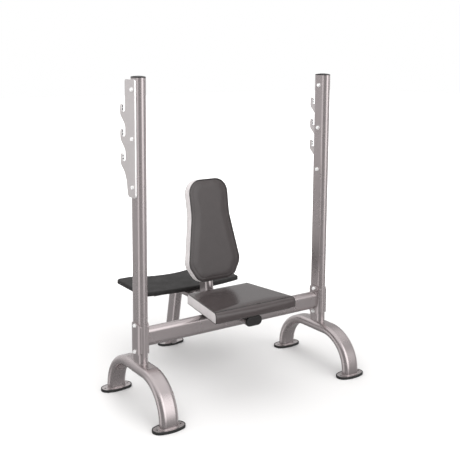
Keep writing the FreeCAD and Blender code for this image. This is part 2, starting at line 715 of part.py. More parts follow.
def build_post():
    """Leaning post behind the pad, cut level where it stands on the spine."""
    section = turned(turned(tube_ring(), V(0, 0, 1), 90), V(1, 0, 0), -90)
    run = section.extrude(V(0, 2 * POST_LENGTH, 0))
    post = on_back(moved(run, 0, -POST_LENGTH, -POST_BEHIND))
    above_spine = box(-TUBE_WIDE, TUBE_WIDE, 0, POST_LENGTH, SPINE_TOP, UPRIGHT_TOP)
    base_s = (SPINE_TOP - BACK_ORIGIN.z) / math.cos(math.radians(BACK_TILT))
    top_s = base_s + POST_LENGTH
    beyond = on_back(box(-TUBE_WIDE, TUBE_WIDE, top_s, top_s + 2 * POST_LENGTH, -2 * POST_BEHIND, 0))
    nodes["back_post"] = one_solid(post.common(above_spine).cut(beyond))
    cap = turned(turned(end_cap(0.0, SPINE_CAP_THICK, SPINE_CAP_R), V(0, 0, 1), 90), V(1, 0, 0), -90)
    nodes["back_post_cap"] = on_back(moved(cap, 0, top_s, -POST_BEHIND))


# ---- spotter's step ----

def step_slab(inset, z0, z1):
    """Curved step: bowed front edge, hollowed rear edge, rounded corners."""
    height = z1 - z0
    half = STEP_HALF_WIDTH - inset
    front_r = arc_radius(STEP_HALF_WIDTH, STEP_FRONT_SWEEP)
    rear_r = arc_radius(STEP_NOTCH_HALF, STEP_REAR_Y - STEP_NOTCH_Y)
    slab = box(-half, half, STEP_FRONT_Y, STEP_REAR_Y - inset, z0, z1)
    slab = slab.common(Part.makeCylinder(front_r - inset, height, V(0, STEP_FRONT_Y + front_r, z0)))
    slab = one_solid(slab.cut(Part.makeCylinder(rear_r + inset, height, V(0, STEP_NOTCH_Y + rear_r, z0))))
    outer = [edge for edge in slab.Edges if is_upright(edge) and abs(middle(edge).x) > half - 1]
    slab = slab.makeFillet(STEP_CORNER_R - inset, outer)
    notch = [edge for edge in slab.Edges if is_upright(edge) and is_notch_corner(edge, inset)]
    return slab.makeFillet(STEP_NOTCH_CORNER_R, notch)


def is_upright(edge):
    return abs(edge.Vertexes[0].Z - edge.Vertexes[-1].Z) > 1


def is_notch_corner(edge, inset):
    point = middle(edge)
    on_rear = abs(point.y - (STEP_REAR_Y - inset)) < TOUCH
    return on_rear and abs(point.x) < STEP_NOTCH_HALF + STEP_BOARD_INSET


def build_step():
    board_top = STEP_BOTTOM + BOARD_THICK
    mat = step_slab(0, STEP_BOTTOM + STEP_MAT_LIFT, STEP_TOP)
    mat = fillet_where(mat, STEP_EDGE_R, at_height(STEP_TOP))
    board = step_slab(STEP_BOARD_INSET, STEP_BOTTOM, board_top)
    spots = [(sign * STEP_BOLT_X, y) for sign in SIDES.values() for y in ARM_BARS_Y.values()]
    bar_bottom = STEP_BOTTOM - ARM_BAR_HEIGHT
    bolt_length = ARM_BAR_HEIGHT + PAD_BOLT_GRIP
    bolt_top = bar_bottom + bolt_length
    holes = together([pad_bolt_hole(PAD_BOLT_HOLE_R, bar_bottom, bolt_top, x, y) for x, y in spots])
    nodes["step_mat"] = one_solid(mat.cut(board))
    nodes["step_board"] = one_solid(board.cut(holes))
    spine_section = moved(turned(tube_outer(), V(1, 0, 0), 90), z=SPINE_TOP - TUBE_R)
    spine_solid = spine_section.extrude(V(0, SPINE_REAR_Y, 0))
    for end, y in ARM_BARS_Y.items():
        bar = box(0, ARM_BAR_END_X, y - ARM_BAR_WIDTH / 2, y + ARM_BAR_WIDTH / 2, bar_bottom, STEP_BOTTOM)
        bar = one_solid(bar.cut(spine_solid).cut(holes))
        nodes["step_arms_" + end] = together([on_side(bar, side) for side in SIDES])
    bolt = turned(hex_bolt(PAD_BOLT_R, PAD_BOLT_FLATS, PAD_BOLT_HEAD, bolt_length), V(0, 1, 0), 90)
    nodes["step_bolts"] = together([moved(bolt, x, y, bar_bottom) for x, y in spots])


def write_nodes():
    os.makedirs("parts", exist_ok=True)
    for name, shape in nodes.items():
        shape = moved(shape, y=-FOOTPRINT_MIDDLE)
        if not shape.isValid():
            raise ValueError("invalid solid: " + name)
        shape.exportStep("parts/%s.step" % name)
        bounds = shape.BoundBox
        print("%-24s %2d solids  %8.1f cm3  x %7.1f %7.1f  y %7.1f %7.1f  z %7.1f %7.1f" % (
            name, len(shape.Solids), shape.Volume / 1000, bounds.XMin, bounds.XMax, bounds.YMin, bounds.YMax,
            bounds.ZMin, bounds.ZMax))


build_legs()
build_uprights()
build_crossbeam()
build_hooks()
build_spine()
build_seat()
build_back()
build_step()
write_nodes()
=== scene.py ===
import json
import math

import bmesh
import bpy
import numpy as np
from mathutils import Matrix, Vector


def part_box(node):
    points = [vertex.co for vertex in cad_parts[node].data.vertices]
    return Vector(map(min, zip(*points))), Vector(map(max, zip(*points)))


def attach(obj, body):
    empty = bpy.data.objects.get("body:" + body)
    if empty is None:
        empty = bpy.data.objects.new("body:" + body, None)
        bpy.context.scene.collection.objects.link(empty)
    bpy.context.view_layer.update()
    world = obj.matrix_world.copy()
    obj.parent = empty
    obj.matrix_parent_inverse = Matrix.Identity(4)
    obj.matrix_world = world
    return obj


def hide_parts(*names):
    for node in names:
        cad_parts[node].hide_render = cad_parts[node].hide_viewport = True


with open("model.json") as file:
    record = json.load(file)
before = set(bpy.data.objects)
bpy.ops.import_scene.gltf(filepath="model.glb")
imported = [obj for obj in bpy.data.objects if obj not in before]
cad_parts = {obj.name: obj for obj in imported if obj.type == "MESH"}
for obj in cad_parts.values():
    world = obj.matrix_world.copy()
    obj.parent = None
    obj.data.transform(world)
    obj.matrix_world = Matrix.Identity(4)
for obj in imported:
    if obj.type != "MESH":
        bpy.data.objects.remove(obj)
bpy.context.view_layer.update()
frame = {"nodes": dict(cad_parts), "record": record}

# Looks for the seated press bench. Everything is in metres, in the frame's own axes:
# X from upright to upright, +Y from the sitter's front to the rear, +Z up.

BODY = "root"
MM = 0.001

# back pad: outline in its own plane, x across and y up, each corner with its radius
BACK_TILT = math.radians(10)
BACK_BOTTOM = -112 * MM
BACK_RIGHT_HALF = [
    (131 * MM, 460 * MM, 80 * MM),
    (127.5 * MM, 258 * MM, 260 * MM),
    (174 * MM, -14 * MM, 70 * MM),
    (117 * MM, BACK_BOTTOM, 75 * MM),
]
# the light band round its edge, and how much smaller the foam starts inside it
BAND_THICK = 2.5 * MM
BAND_INSET = 1 * MM
BACK_FOAM_GAP = 0.5 * MM
BACK_START_LOWER = 1 * MM
# the face that swells: how deep it reaches, the rim that is held, the pressure and the most it may move
BACK_FACE_DEPTH = 7 * MM
BACK_HELD_RIM = 3 * MM
BACK_PRESSURE = 3.0
BACK_SWELL = 4 * MM
BACK_SEAM_INSET = 23 * MM
BACK_SEAM_DEPTH = 1.3 * MM
BACK_SEAM_WIDTH = 3 * MM
BACK_PIPING_R = 2.2 * MM
BACK_PIPING_INSET = 3 * MM
BACK_PIPING_DEPTH = 3.6 * MM
BACK_REAR_PIPING_R = 1.8 * MM
BACK_REAR_PIPING_INSET = 2.2 * MM
BACK_REAR_PIPING_LIFT = 0.4 * MM

# seat: the radii of its side view
SEAT_NOSE_R = 26 * MM
SEAT_UNDER_NOSE_R = 12 * MM
SEAT_REAR_TOP_R = 4 * MM
SEAT_REAR_BOTTOM_R = 3 * MM
SEAT_PROFILE_POINTS = 220
# how much smaller its foam starts, the rim and base that are held, the pressure, the most it may move and
# the highest that its crown may rise
SEAT_START_SMALLER = 1 * MM
SEAT_SIDE_GAP = 2 * MM
SEAT_HELD_RIM = 4 * MM
SEAT_HELD_BASE = 12 * MM
SEAT_PRESSURE = 4.0
SEAT_SWELL = 7 * MM
SEAT_CROWN = 6 * MM
CROWN_EASING = 3 * MM
# the seam behind the front roll, and the cord in it
SEAT_SEAM_BACK = 24 * MM
SEAT_SEAM_DEPTH = 2.2 * MM
SEAT_SEAM_WIDTH = 4 * MM
SEAT_TOP_SKIN = 12 * MM
SEAT_CORD_R = 1.5 * MM
SEAT_CORD_LIFT = 0.4 * MM
SEAT_CORD_REACH = 3 * MM
SEAT_CORD_SKIN = 14 * MM
SEAT_CORD_POINTS = 60
SEAT_CORD_SMOOTHING = 9
SEAT_CORD_END_GAP = 5 * MM
# the light panel and the piping on each side: the places across are inwards from the seat's side
SEAT_PANEL_THICK = 3 * MM
SEAT_PANEL_INSET = 4.5 * MM
SEAT_PANEL_BACK = 4 * MM
SEAT_PANEL_FACE = 1.5 * MM
SEAT_PIPING_R = 2.0 * MM
SEAT_PIPING_OUTSET = 0.6 * MM
SEAT_PIPING_PLACE = 2.4 * MM
# rows of a side panel from its edge to its middle: share of the way in, and bulge
SEAT_PANEL_ROWS = [(0.0, -1.2 * MM), (0.04, 0.2 * MM), (0.12, 0.9 * MM), (0.25, 1.5 * MM), (0.45, 1.9 * MM),
                   (0.7, 2.1 * MM), (0.95, 2.2 * MM)]

# foam: size of the remeshed faces, and the cloth's frames
PAD_VOXEL = 5 * MM
CLOTH_FRAMES = 20
# distance given to points that a stitched line leaves alone
FAR = 1.0

# flat-oval frame tube
TUBE_WIDE = 100 * MM
TUBE_NARROW = 50 * MM
WELD_R = 2.6 * MM
WELD_RIPPLE = 0.10

OUTLINE_POINTS = 360
ARC_STEPS = 24

# the Mix node's colour inputs and output have the same names as its other sockets, so they go by number
MIX_A = 6
MIX_B = 7
MIX_RESULT = 2

# where a noise's lower and upper values sit, since it seldom leaves the middle of its range
NOISE_LOW = 0.3
NOISE_HIGH = 0.7
FLAKE_SCALE = 900


# ---- outlines and sweeps ----

def even_points(path, count):
    """The closed path as that many evenly spaced points."""
    closed = np.vstack([path, path[:1]])
    steps = np.linalg.norm(np.diff(closed, axis=0), axis=1)
    along = np.concatenate([[0], np.cumsum(steps)])
    wanted = np.linspace(0, along[-1], count, endpoint=False)
    return np.stack([np.interp(wanted, along, closed[:, k]) for k in range(closed.shape[1])], axis=1)


def rounded_outline(corners, count=OUTLINE_POINTS):
    """Anticlockwise points round an outline given as (x, y, corner radius)."""
    path = []
    for i, (x, y, radius) in enumerate(corners):
        corner = np.array((x, y))
        before = np.array(corners[i - 1][:2]) - corner
        after = np.array(corners[(i + 1) % len(corners)][:2]) - corner
        before /= np.linalg.norm(before)
        after /= np.linalg.norm(after)
        half = math.acos(np.clip(before @ after, -1, 1)) / 2
        bisector = (before + after) / np.linalg.norm(before + after)
        centre = corner + bisector * radius / math.sin(half)
        start = corner + before * radius / math.tan(half) - centre
        end = corner + after * radius / math.tan(half) - centre
        first = math.atan2(start[1], start[0])
        sweep = (math.atan2(end[1], end[0]) - first + math.pi) % (2 * math.pi) - math.pi
        angles = first + sweep * np.linspace(0, 1, ARC_STEPS)
        path.append(centre + radius * np.stack([np.cos(angles), np.sin(angles)], axis=1))
    path = np.vstack(path)
    nxt = np.roll(path, -1, axis=0)
    if np.sum(path[:, 0] * nxt[:, 1] - nxt[:, 0] * path[:, 1]) < 0:
        path = path[::-1]
    return even_points(path, count)


def outward(path):
    """Unit normals pointing out of a closed anticlockwise path."""
    along = np.roll(path, -1, axis=0) - np.roll(path, 1, axis=0)
    normal = np.stack([along[:, 1], -along[:, 0]], axis=1)
    return normal / np.linalg.norm(normal, axis=1)[:, None]


def inset(path, distance):
    return path - outward(path) * distance


def flat_oval(long_side, short_side, count):
    """A flat-oval path about the origin, its long side along x."""
    r = short_side / 2
    h = long_side / 2 - r
    right = np.linspace(-math.pi / 2, math.pi / 2, ARC_STEPS)
    left = right + math.pi
    arcs = [np.stack([h + r * np.cos(right), r * np.sin(right)], axis=1),
            np.stack([-h + r * np.cos(left), r * np.sin(left)], axis=1)]
    return even_points(np.vstack(arcs), count)


def new_object(name, mesh):
    piece = bpy.data.objects.new(name, mesh)
    bpy.context.scene.collection.objects.link(piece)
    return piece


def smooth(mesh):
    mesh.polygons.foreach_set("use_smooth", [True] * len(mesh.polygons))


def ring_mesh(name, rows):
    """Closed ring from rows[i][j], the j-th profile point at the i-th place round the loop."""
    loops, around = rows.shape[:2]
    index = np.arange(loops * around).reshape(loops, around)
    after = np.roll(index, -1, axis=0)
    corners = [index, np.roll(index, -1, axis=1), np.roll(after, -1, axis=1), after]
    quads = np.stack(corners, axis=-1).reshape(-1, 4)
    mesh = bpy.data.meshes.new(name)
    mesh.from_pydata(rows.reshape(-1, 3).tolist(), [], quads.tolist())
    smooth(mesh)
    return tidy_normals(mesh)


def capped_mesh(name, rows):
    """Closed skin over rows[k][i], the i-th point of the k-th section, with a face over each end."""
    levels, count = rows.shape[:2]
    faces = []
    for k in range(levels - 1):
        low, high = k * count, (k + 1) * count
        faces += [(low + i, low + (i + 1) % count, high + (i + 1) % count, high + i) for i in range(count)]
    faces.append(tuple(range(count))[::-1])
    faces.append(tuple(range((levels - 1) * count, levels * count)))
    mesh = bpy.data.meshes.new(name)
    mesh.from_pydata(rows.reshape(-1, 3).tolist(), [], faces)
    return tidy_normals(mesh)


def tidy_normals(mesh):
    shell = bmesh.new()
    shell.from_mesh(mesh)
    bmesh.ops.recalc_face_normals(shell, faces=shell.faces)
    shell.to_mesh(mesh)
    shell.free()
    return mesh


def swept_ring(name, path, profile):
    """Ring whose section is profile, points (out, up), carried round a flat closed path."""
    normal = outward(path)
    flat = path[:, None, :] + profile[None, :, :1] * normal[:, None, :]
    up = np.broadcast_to(profile[None, :, 1:], flat.shape[:2] + (1,))
    return new_object(name, ring_mesh(name, np.concatenate([flat, up], axis=2)))


def circle(radius, count=12, centre=(0.0, 0.0)):
    angles = np.linspace(0, 2 * math.pi, count, endpoint=False)
    return np.stack([centre[0] + radius * np.cos(angles), centre[1] + radius * np.sin(angles)], axis=1)


def prism(name, path, z0, z1):
    """Closed solid between two heights over a flat path."""
    rows = np.array([[(x, y, z) for x, y in path] for z in (z0, z1)])
    return new_object(name, capped_mesh(name, rows))


# ---- mesh points in and out, and the foam ----

def points_of(mesh):
    flat = np.empty(len(mesh.vertices) * 3)
    mesh.vertices.foreach_get("co", flat)
    return flat.reshape(-1, 3)


def set_points(mesh, points):
    mesh.vertices.foreach_set("co", points.ravel())
    mesh.update()


def apply_modifiers(piece):
    graph = bpy.context.evaluated_depsgraph_get()
    mesh = bpy.data.meshes.new_from_object(piece.evaluated_get(graph))
    piece.modifiers.clear()
    piece.data = mesh
    smooth(mesh)


def remesh(piece, voxel):
    modifier = piece.modifiers.new("remesh", "REMESH")
    modifier.mode = "VOXEL"
    modifier.voxel_size = voxel
    apply_modifiers(piece)


def subdivide(piece):
    piece.modifiers.new("subdivision", "SUBSURF").levels = 1
    apply_modifiers(piece)


def relax(piece, rounds, free):
    """Even out a mesh by moving each free vertex towards the middle of its neighbours."""
    mesh = piece.data
    ends = np.empty(len(mesh.edges) * 2, int)
    mesh.edges.foreach_get("vertices", ends)
    a, b = ends.reshape(-1, 2).T
    points = points_of(mesh)
    count = np.bincount(a, minlength=len(points)) + np.bincount(b, minlength=len(points))
    movable = free(points)[:, None]
    for _ in range(rounds):
        total = np.zeros_like(points)
        np.add.at(total, a, points[b])
        np.add.at(total, b, points[a])
        points = np.where(movable, (points + total / count[:, None]) / 2, points)
    set_points(mesh, points)


def inflate(piece, free, pressure, cap):
    """Blow the free part of a foam pad up as cloth, moving no point further than cap."""
    mesh = piece.data
    rest = points_of(mesh)
    held = piece.vertex_groups.new(name="held")
    held.add(np.flatnonzero(~free(rest)).tolist(), 1.0, "REPLACE")
    cloth = piece.modifiers.new("cloth", "CLOTH")
    settings = cloth.settings
    settings.quality = 6
    settings.mass = 0.25
    settings.tension_stiffness = 18
    settings.compression_stiffness = 18
    settings.shear_stiffness = 8
    settings.bending_stiffness = 1.2
    settings.use_pressure = True
    settings.uniform_pressure_force = pressure
    settings.vertex_group_mass = "held"
    settings.effector_weights.gravity = 0
    cloth.collision_settings.use_collision = False
    scene = bpy.context.scene
    for step in range(1, CLOTH_FRAMES + 1):
        scene.frame_set(step)
    graph = bpy.context.evaluated_depsgraph_get()
    blown = points_of(piece.evaluated_get(graph).to_mesh())
    piece.modifiers.clear()
    scene.frame_set(1)
    travel = blown - rest
    length = np.linalg.norm(travel, axis=1)[:, None]
    set_points(mesh, rest + travel * np.minimum(1, cap / np.maximum(length, 1e-9)))


def press_line(piece, distance, depth, width):
    """Press a stitched line into a pad's top; distance(points) is each point's distance from it."""
    points = points_of(piece.data)
    normals = np.empty(len(points) * 3)
    piece.data.vertices.foreach_get("normal", normals)
    dip = depth * np.exp(-(distance(points) / width) ** 2)
    set_points(piece.data, points - normals.reshape(-1, 3) * dip[:, None])


def distance_to(path, points):
    """Distance from each point's x and y to the nearest of the path's points."""
    result = np.empty(len(points))
    for start in range(0, len(points), 4000):
        part = points[start:start + 4000, None, :2] - path[None, :, :]
        result[start:start + 4000] = np.sqrt((part ** 2).sum(axis=2)).min(axis=1)
    return result


# ---- materials ----

def add_node(tree, kind, **values):
    node = tree.nodes.new(kind)
    for name, value in values.items():
        if hasattr(node, name):
            setattr(node, name, value)
        else:
            node.inputs[name.replace("_", " ")].default_value = value
    return node


def new_material(name, colour, roughness, **sockets):
    material = bpy.data.materials.new(name)
    material.use_nodes = True
    tree = material.node_tree
    surface = tree.nodes["Principled BSDF"]
    surface.inputs["Base Color"].default_value = (*colour, 1)
    surface.inputs["Roughness"].default_value = roughness
    for socket, value in sockets.items():
        surface.inputs[socket.replace("_", " ")].default_value = value
    return material, tree, surface


def noise(tree, scale, detail=2.0, stretch=None):
    coords = add_node(tree, "ShaderNodeTexCoord").outputs["Object"]
    if stretch:
        mapping = add_node(tree, "ShaderNodeMapping")
        mapping.inputs["Scale"].default_value = stretch
        tree.links.new(coords, mapping.inputs["Vector"])
        coords = mapping.outputs["Vector"]
    texture = add_node(tree, "ShaderNodeTexNoise", Scale=scale, Detail=detail)
    tree.links.new(coords, texture.inputs["Vector"])
    return texture.outputs["Fac"]


def cells(tree, scale, feature="DISTANCE_TO_EDGE"):
    coords = add_node(tree, "ShaderNodeTexCoord").outputs["Object"]
    texture = add_node(tree, "ShaderNodeTexVoronoi", feature=feature, Scale=scale)
    tree.links.new(coords, texture.inputs["Vector"])
    return texture.outputs["Distance"]


def ramp(tree, source, stops):
    """Colour ramp from (place, grey or colour) stops."""
    node = add_node(tree, "ShaderNodeValToRGB")
    elements = node.color_ramp.elements
    while len(elements) < len(stops):
        elements.new(0.5)
    for element, (place, value) in zip(elements, stops):
        element.position = place
        element.color = (*value, 1) if isinstance(value, tuple) else (value, value, value, 1)
    tree.links.new(source, node.inputs["Fac"])
    return node.outputs["Color"]


def scaled(colour, factor):
    return tuple(min(1.0, channel * factor) for channel in colour)


def vary_colour(tree, surface, source, colour, low, high):
    shades = ramp(tree, source, [(NOISE_LOW, scaled(colour, low)), (NOISE_HIGH, scaled(colour, high))])
    tree.links.new(shades, surface.inputs["Base Color"])


def vary_roughness(tree, surface, source, low, high):
    glosses = ramp(tree, source, [(NOISE_LOW, low), (NOISE_HIGH, high)])
    tree.links.new(glosses, surface.inputs["Roughness"])


def bumps(tree, surface, layers):
    """Stack bump layers, each (height source, strength, depth in metres)."""
    normal = None
    for source, strength, depth in layers:
        node = add_node(tree, "ShaderNodeBump", Strength=strength, Distance=depth)
        tree.links.new(source, node.inputs["Height"])
        if normal:
            tree.links.new(normal, node.inputs["Normal"])
        normal = node.outputs["Normal"]
    tree.links.new(normal, surface.inputs["Normal"])


def flake(tree, colour):
    """Fine metallic flake: two close shades of the coat's colour, cell by cell."""
    shades = [(0.1, scaled(colour, 0.97)), (0.8, scaled(colour, 1.04))]
    return ramp(tree, cells(tree, FLAKE_SCALE, "F1"), shades)


def orange_peel(tree, surface, strength):
    bumps(tree, surface, [(noise(tree, 160, 1), strength, 0.0002), (noise(tree, 1800, 1), 0.02, 0.00005)])


def powder_coat(name, colour, roughness=0.27, metallic=0.85):
    """Metallic powder coat: fine flake, a little orange peel, and gloss that varies a little."""
    material, tree, surface = new_material(name, colour, roughness, Metallic=metallic, Coat_Weight=0.25,
                                           Coat_Roughness=0.22)
    tree.links.new(flake(tree, colour), surface.inputs["Base Color"])
    vary_roughness(tree, surface, noise(tree, 7, 4), roughness - 0.02, roughness + 0.03)
    orange_peel(tree, surface, 0.02)
    return material


def edged_plate(name, colour, edge_highlight_colour):
    """Coated steel plate whose faces look along X; its edges, where the faces turn away from X, carry a
    painted highlight: a paler colour standing in for the light they catch.
    """
    material, tree, surface = new_material(name, colour, 0.36, Metallic=0.6, Coat_Weight=0.25,
                                           Coat_Roughness=0.22)
    normal = add_node(tree, "ShaderNodeSeparateXYZ")
    tree.links.new(add_node(tree, "ShaderNodeTexCoord").outputs["Normal"], normal.inputs["Vector"])
    across = add_node(tree, "ShaderNodeMath", operation="ABSOLUTE")
    tree.links.new(normal.outputs["X"], across.inputs[0])
    # painted highlight: faces that don't look along X take the pale edge colour instead of the coat
    choice = add_node(tree, "ShaderNodeMix", data_type="RGBA")
    tree.links.new(ramp(tree, across.outputs["Value"], [(0.3, 1.0), (0.7, 0.0)]), choice.inputs["Factor"])
    tree.links.new(flake(tree, colour), choice.inputs[MIX_A])
    choice.inputs[MIX_B].default_value = (*edge_highlight_colour, 1)
    tree.links.new(choice.outputs[MIX_RESULT], surface.inputs["Base Color"])
    vary_roughness(tree, surface, noise(tree, 7, 4), 0.34, 0.44)
    orange_peel(tree, surface, 0.03)
    return material


def vinyl(name, colour, roughness, grain=420, depth=0.0004):
    """Upholstery vinyl: pebbled grain, soft mottling, and gloss that varies a little."""
    material, tree, surface = new_material(name, colour, roughness, Specular_IOR_Level=0.55, Coat_Weight=0.12,
                                           Coat_Roughness=0.3)
    vary_colour(tree, surface, noise(tree, 18, 5), colour, 0.92, 1.08)
    vary_roughness(tree, surface, noise(tree, 9, 4), roughness - 0.03, roughness + 0.05)
    pebble = ramp(tree, cells(tree, grain), [(0.0, 0.0), (0.12, 1.0)])
    bumps(tree, surface, [(pebble, 0.05, depth), (noise(tree, grain * 3, 2), 0.05, depth / 2)])
    return material


def woven_vinyl(name, colour, roughness):
    """Light side vinyl embossed with a fine basket weave."""
    material, tree, surface = new_material(name, colour, roughness, Specular_IOR_Level=0.4)
    vary_colour(tree, surface, noise(tree, 30, 5), colour, 0.95, 1.04)
    vary_roughness(tree, surface, noise(tree, 12, 3), roughness - 0.04, roughness + 0.06)
    coords = add_node(tree, "ShaderNodeTexCoord").outputs["Object"]
    layers = []
    for direction in ("DIAGONAL", "Z"):
        wave = add_node(tree, "ShaderNodeTexWave", wave_type="BANDS", bands_direction=direction, Scale=110.0)
        tree.links.new(coords, wave.inputs["Vector"])
        layers.append((wave.outputs["Fac"], 0.25, 0.0004))
    bumps(tree, surface, layers + [(noise(tree, 1500, 1), 0.1, 0.0002)])
    return material


def rubber(name, colour, roughness=0.72, pebble=0.0):
    material, tree, surface = new_material(name, colour, roughness, Specular_IOR_Level=0.35)
    vary_colour(tree, surface, noise(tree, 60, 6), colour, 0.8, 1.25)
    vary_roughness(tree, surface, noise(tree, 14, 4), roughness - 0.08, roughness + 0.06)
    layers = [(noise(tree, 900, 3), 0.25, 0.0003)]
    if pebble:
        layers.append((ramp(tree, cells(tree, pebble, "SMOOTH_F1"), [(0.1, 1.0), (0.7, 0.0)]), 0.2, 0.0006))
    bumps(tree, surface, layers)
    return material


def moulded_plastic(name, colour, roughness):
    material, tree, surface = new_material(name, colour, roughness, Specular_IOR_Level=0.28)
    vary_colour(tree, surface, noise(tree, 40, 4), colour, 0.9, 1.12)
    vary_roughness(tree, surface, noise(tree, 25, 4), roughness - 0.04, roughness + 0.08)
    bumps(tree, surface, [(noise(tree, 700, 2), 0.12, 0.0002)])
    return material


def plated_steel(name, colour, roughness, metallic=1.0):
    """Plated or blackened steel: fine marks drawn out along Z, and a faint cloudiness."""
    material, tree, surface = new_material(name, colour, roughness, Metallic=metallic)
    vary_colour(tree, surface, noise(tree, 120, 4), colour, 0.85, 1.1)
    vary_roughness(tree, surface, noise(tree, 200, 3), roughness - 0.08, roughness + 0.1)
    bumps(tree, surface, [(noise(tree, 900, 1, (1.0, 1.0, 0.1)), 0.15, 0.0001)])
    return material


def stained_ply(name, colour, roughness):
    """Black-stained plywood, its long grain running along Y."""
    material, tree, surface = new_material(name, colour, roughness)
    vary_colour(tree, surface, noise(tree, 90, 6, (1.0, 0.06, 1.0)), colour, 0.6, 1.5)
    vary_roughness(tree, surface, noise(tree, 40, 3), roughness - 0.06, roughness + 0.08)
    bumps(tree, surface, [(noise(tree, 160, 5, (1.0, 0.05, 1.0)), 0.3, 0.0004)])
    return material


GREY = (0.405, 0.362, 0.364)
LIGHT_GREY = (0.46, 0.42, 0.42)
LOOKS = {
    "frame_paint": powder_coat("frame_paint", GREY),
    "plate_paint": powder_coat("plate_paint", LIGHT_GREY),
    # hook plates: the second colour is a painted highlight on the plate's edges
    "hook_paint": edged_plate("hook_paint", (0.50, 0.47, 0.47), (0.84, 0.83, 0.83)),
    "foot_rubber": rubber("foot_rubber", (0.018, 0.018, 0.018)),
    "cap_plastic": moulded_plastic("cap_plastic", (0.016, 0.015, 0.015), 0.42),
    "liner_plastic": moulded_plastic("liner_plastic", (0.58, 0.57, 0.57), 0.45),
    "black_steel": plated_steel("black_steel", (0.05, 0.05, 0.05), 0.4),
    "zinc_steel": plated_steel("zinc_steel", (0.92, 0.92, 0.91), 0.3, metallic=0.45),
    "dark_vinyl": vinyl("dark_vinyl", (0.046, 0.037, 0.037), 0.17),
    "light_vinyl": woven_vinyl("light_vinyl", (0.55, 0.52, 0.52), 0.5),
    "plywood": stained_ply("plywood", (0.035, 0.03, 0.028), 0.6),
    "black_bracket": powder_coat("black_bracket", (0.03, 0.03, 0.03), 0.45, metallic=0.3),
    "step_rubber": rubber("step_rubber", (0.016, 0.0145, 0.0145), 0.68, pebble=500),
}
BACK_VINYL = vinyl("back_vinyl", (0.033, 0.026, 0.026), 0.44)
PIPING = vinyl("piping_vinyl", (0.018, 0.016, 0.016), 0.3, grain=900, depth=0.0002)


def dress(piece, slot, *nodes, material=None):
    """Give a new piece its material (the slot's look unless another is given) and body, and hide the CAD
    nodes that it stands for.
    """
    piece.data.materials.clear()
    piece.data.materials.append(material or LOOKS[slot])
    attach(piece, BODY)
    if nodes:
        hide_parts(*nodes)
    return piece


def dress_cad_nodes():
    for part in frame["record"]["subparts"]:
        node = frame["nodes"][part["node"]]
        node.data.materials.clear()
        node.data.materials.append(LOOKS[part["material_slot"]])


# ---- seat ----

def seat_plan():
    """Half widths at the front and rear and the four limits, from the side panels and the cushion."""
    low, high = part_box("seat_cushion")
    panel_low, panel_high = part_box("seat_side_panel_right")
    return {"front": low.y, "rear": high.y, "bottom": low.z, "top": high.z,
            "front_half": panel_high.x, "rear_half": panel_low.x + SEAT_PANEL_THICK}


def seat_profile(plan, grow=0.0):
    """Side view of the seat as (y, z): a rounded nose at the front, and small radii at the rear."""
    front, rear = plan["front"] - grow, plan["rear"] + grow
    bottom, top = plan["bottom"] - grow, plan["top"] + grow
    corners = [(front, bottom, SEAT_UNDER_NOSE_R), (rear, bottom, SEAT_REAR_BOTTOM_R),
               (rear, top, SEAT_REAR_TOP_R), (front, top, SEAT_NOSE_R)]
    return rounded_outline(corners, SEAT_PROFILE_POINTS)


def seat_block(name, profile, half_at):
    """The seat's side view carried across its tapering width."""
    rows = np.array([[(sign * half_at(y), y, z) for y, z in profile] for sign in (-1, 1)])
    return new_object(name, capped_mesh(name, rows))


def build_seat():
    plan = seat_plan()
    length = plan["rear"] - plan["front"]

    def half_at(y):
        return plan["front_half"] + (plan["rear_half"] - plan["front_half"]) * (y - plan["front"]) / length

    profile = seat_profile(plan, -SEAT_START_SMALLER)
    cushion = seat_block("seat_upholstery", profile, lambda y: half_at(y) - SEAT_SIDE_GAP)
    remesh(cushion, PAD_VOXEL)

    def upper(points):
        inside = np.abs(points[:, 0]) < half_at(points[:, 1]) - SEAT_PANEL_THICK - SEAT_HELD_RIM
        return inside & (points[:, 2] > plan["bottom"] + SEAT_HELD_BASE)

    inflate(cushion, upper, SEAT_PRESSURE, SEAT_SWELL)
    relax(cushion, rounds=3, free=upper)
    subdivide(cushion)
    seam_y = plan["front"] + SEAT_SEAM_BACK

    def front_seam(points):
        on_top = points[:, 2] > plan["top"] - SEAT_TOP_SKIN
        return np.where(on_top, np.abs(points[:, 1] - seam_y), FAR)

    press_line(cushion, front_seam, SEAT_SEAM_DEPTH, SEAT_SEAM_WIDTH)
    lower_to(cushion, plan["top"] + SEAT_CROWN)
    dress(cushion, "dark_vinyl", "seat_cushion")
    build_seat_cord(plan, cushion, seam_y, half_at(seam_y) - SEAT_CORD_END_GAP)
    for side, sign in (("left", -1), ("right", 1)):
        build_seat_side(side, sign, plan, half_at)


def build_seat_cord(plan, cushion, seam_y, half_width):
    """Thin dark cord sewn into the seam behind the front roll, lying on the cushion."""
    points = points_of(cushion.data)
    by_seam = np.abs(points[:, 1] - seam_y) < SEAT_CORD_REACH
    near = points[by_seam & (points[:, 2] > plan["top"] - SEAT_CORD_SKIN)]
    xs = np.linspace(-half_width, half_width, SEAT_CORD_POINTS)
    order = near[np.argsort(near[:, 0])]
    heights = np.interp(xs, order[:, 0], order[:, 2])
    padded = np.pad(heights, SEAT_CORD_SMOOTHING // 2, mode="edge")
    heights = np.convolve(padded, np.ones(SEAT_CORD_SMOOTHING) / SEAT_CORD_SMOOTHING, mode="valid")
    section = circle(SEAT_CORD_R, count=10)
    rows = [[(x, seam_y + out, z + SEAT_CORD_LIFT + up) for out, up in section] for x, z in zip(xs, heights)]
    mesh = capped_mesh("seat_seam_cord", np.array(rows))
    smooth(mesh)
    dress(new_object("seat_seam_cord", mesh), "dark_vinyl", material=PIPING)


def lower_to(piece, top):
    """Keep a blown-up pad under a height, easing its last few millimetres rather than cutting it off."""
    points = points_of(piece.data)
    limit = top - CROWN_EASING
    over = points[:, 2] > limit
    points[over, 2] = limit + CROWN_EASING * np.tanh((points[over, 2] - limit) / CROWN_EASING)
    set_points(piece.data, points)


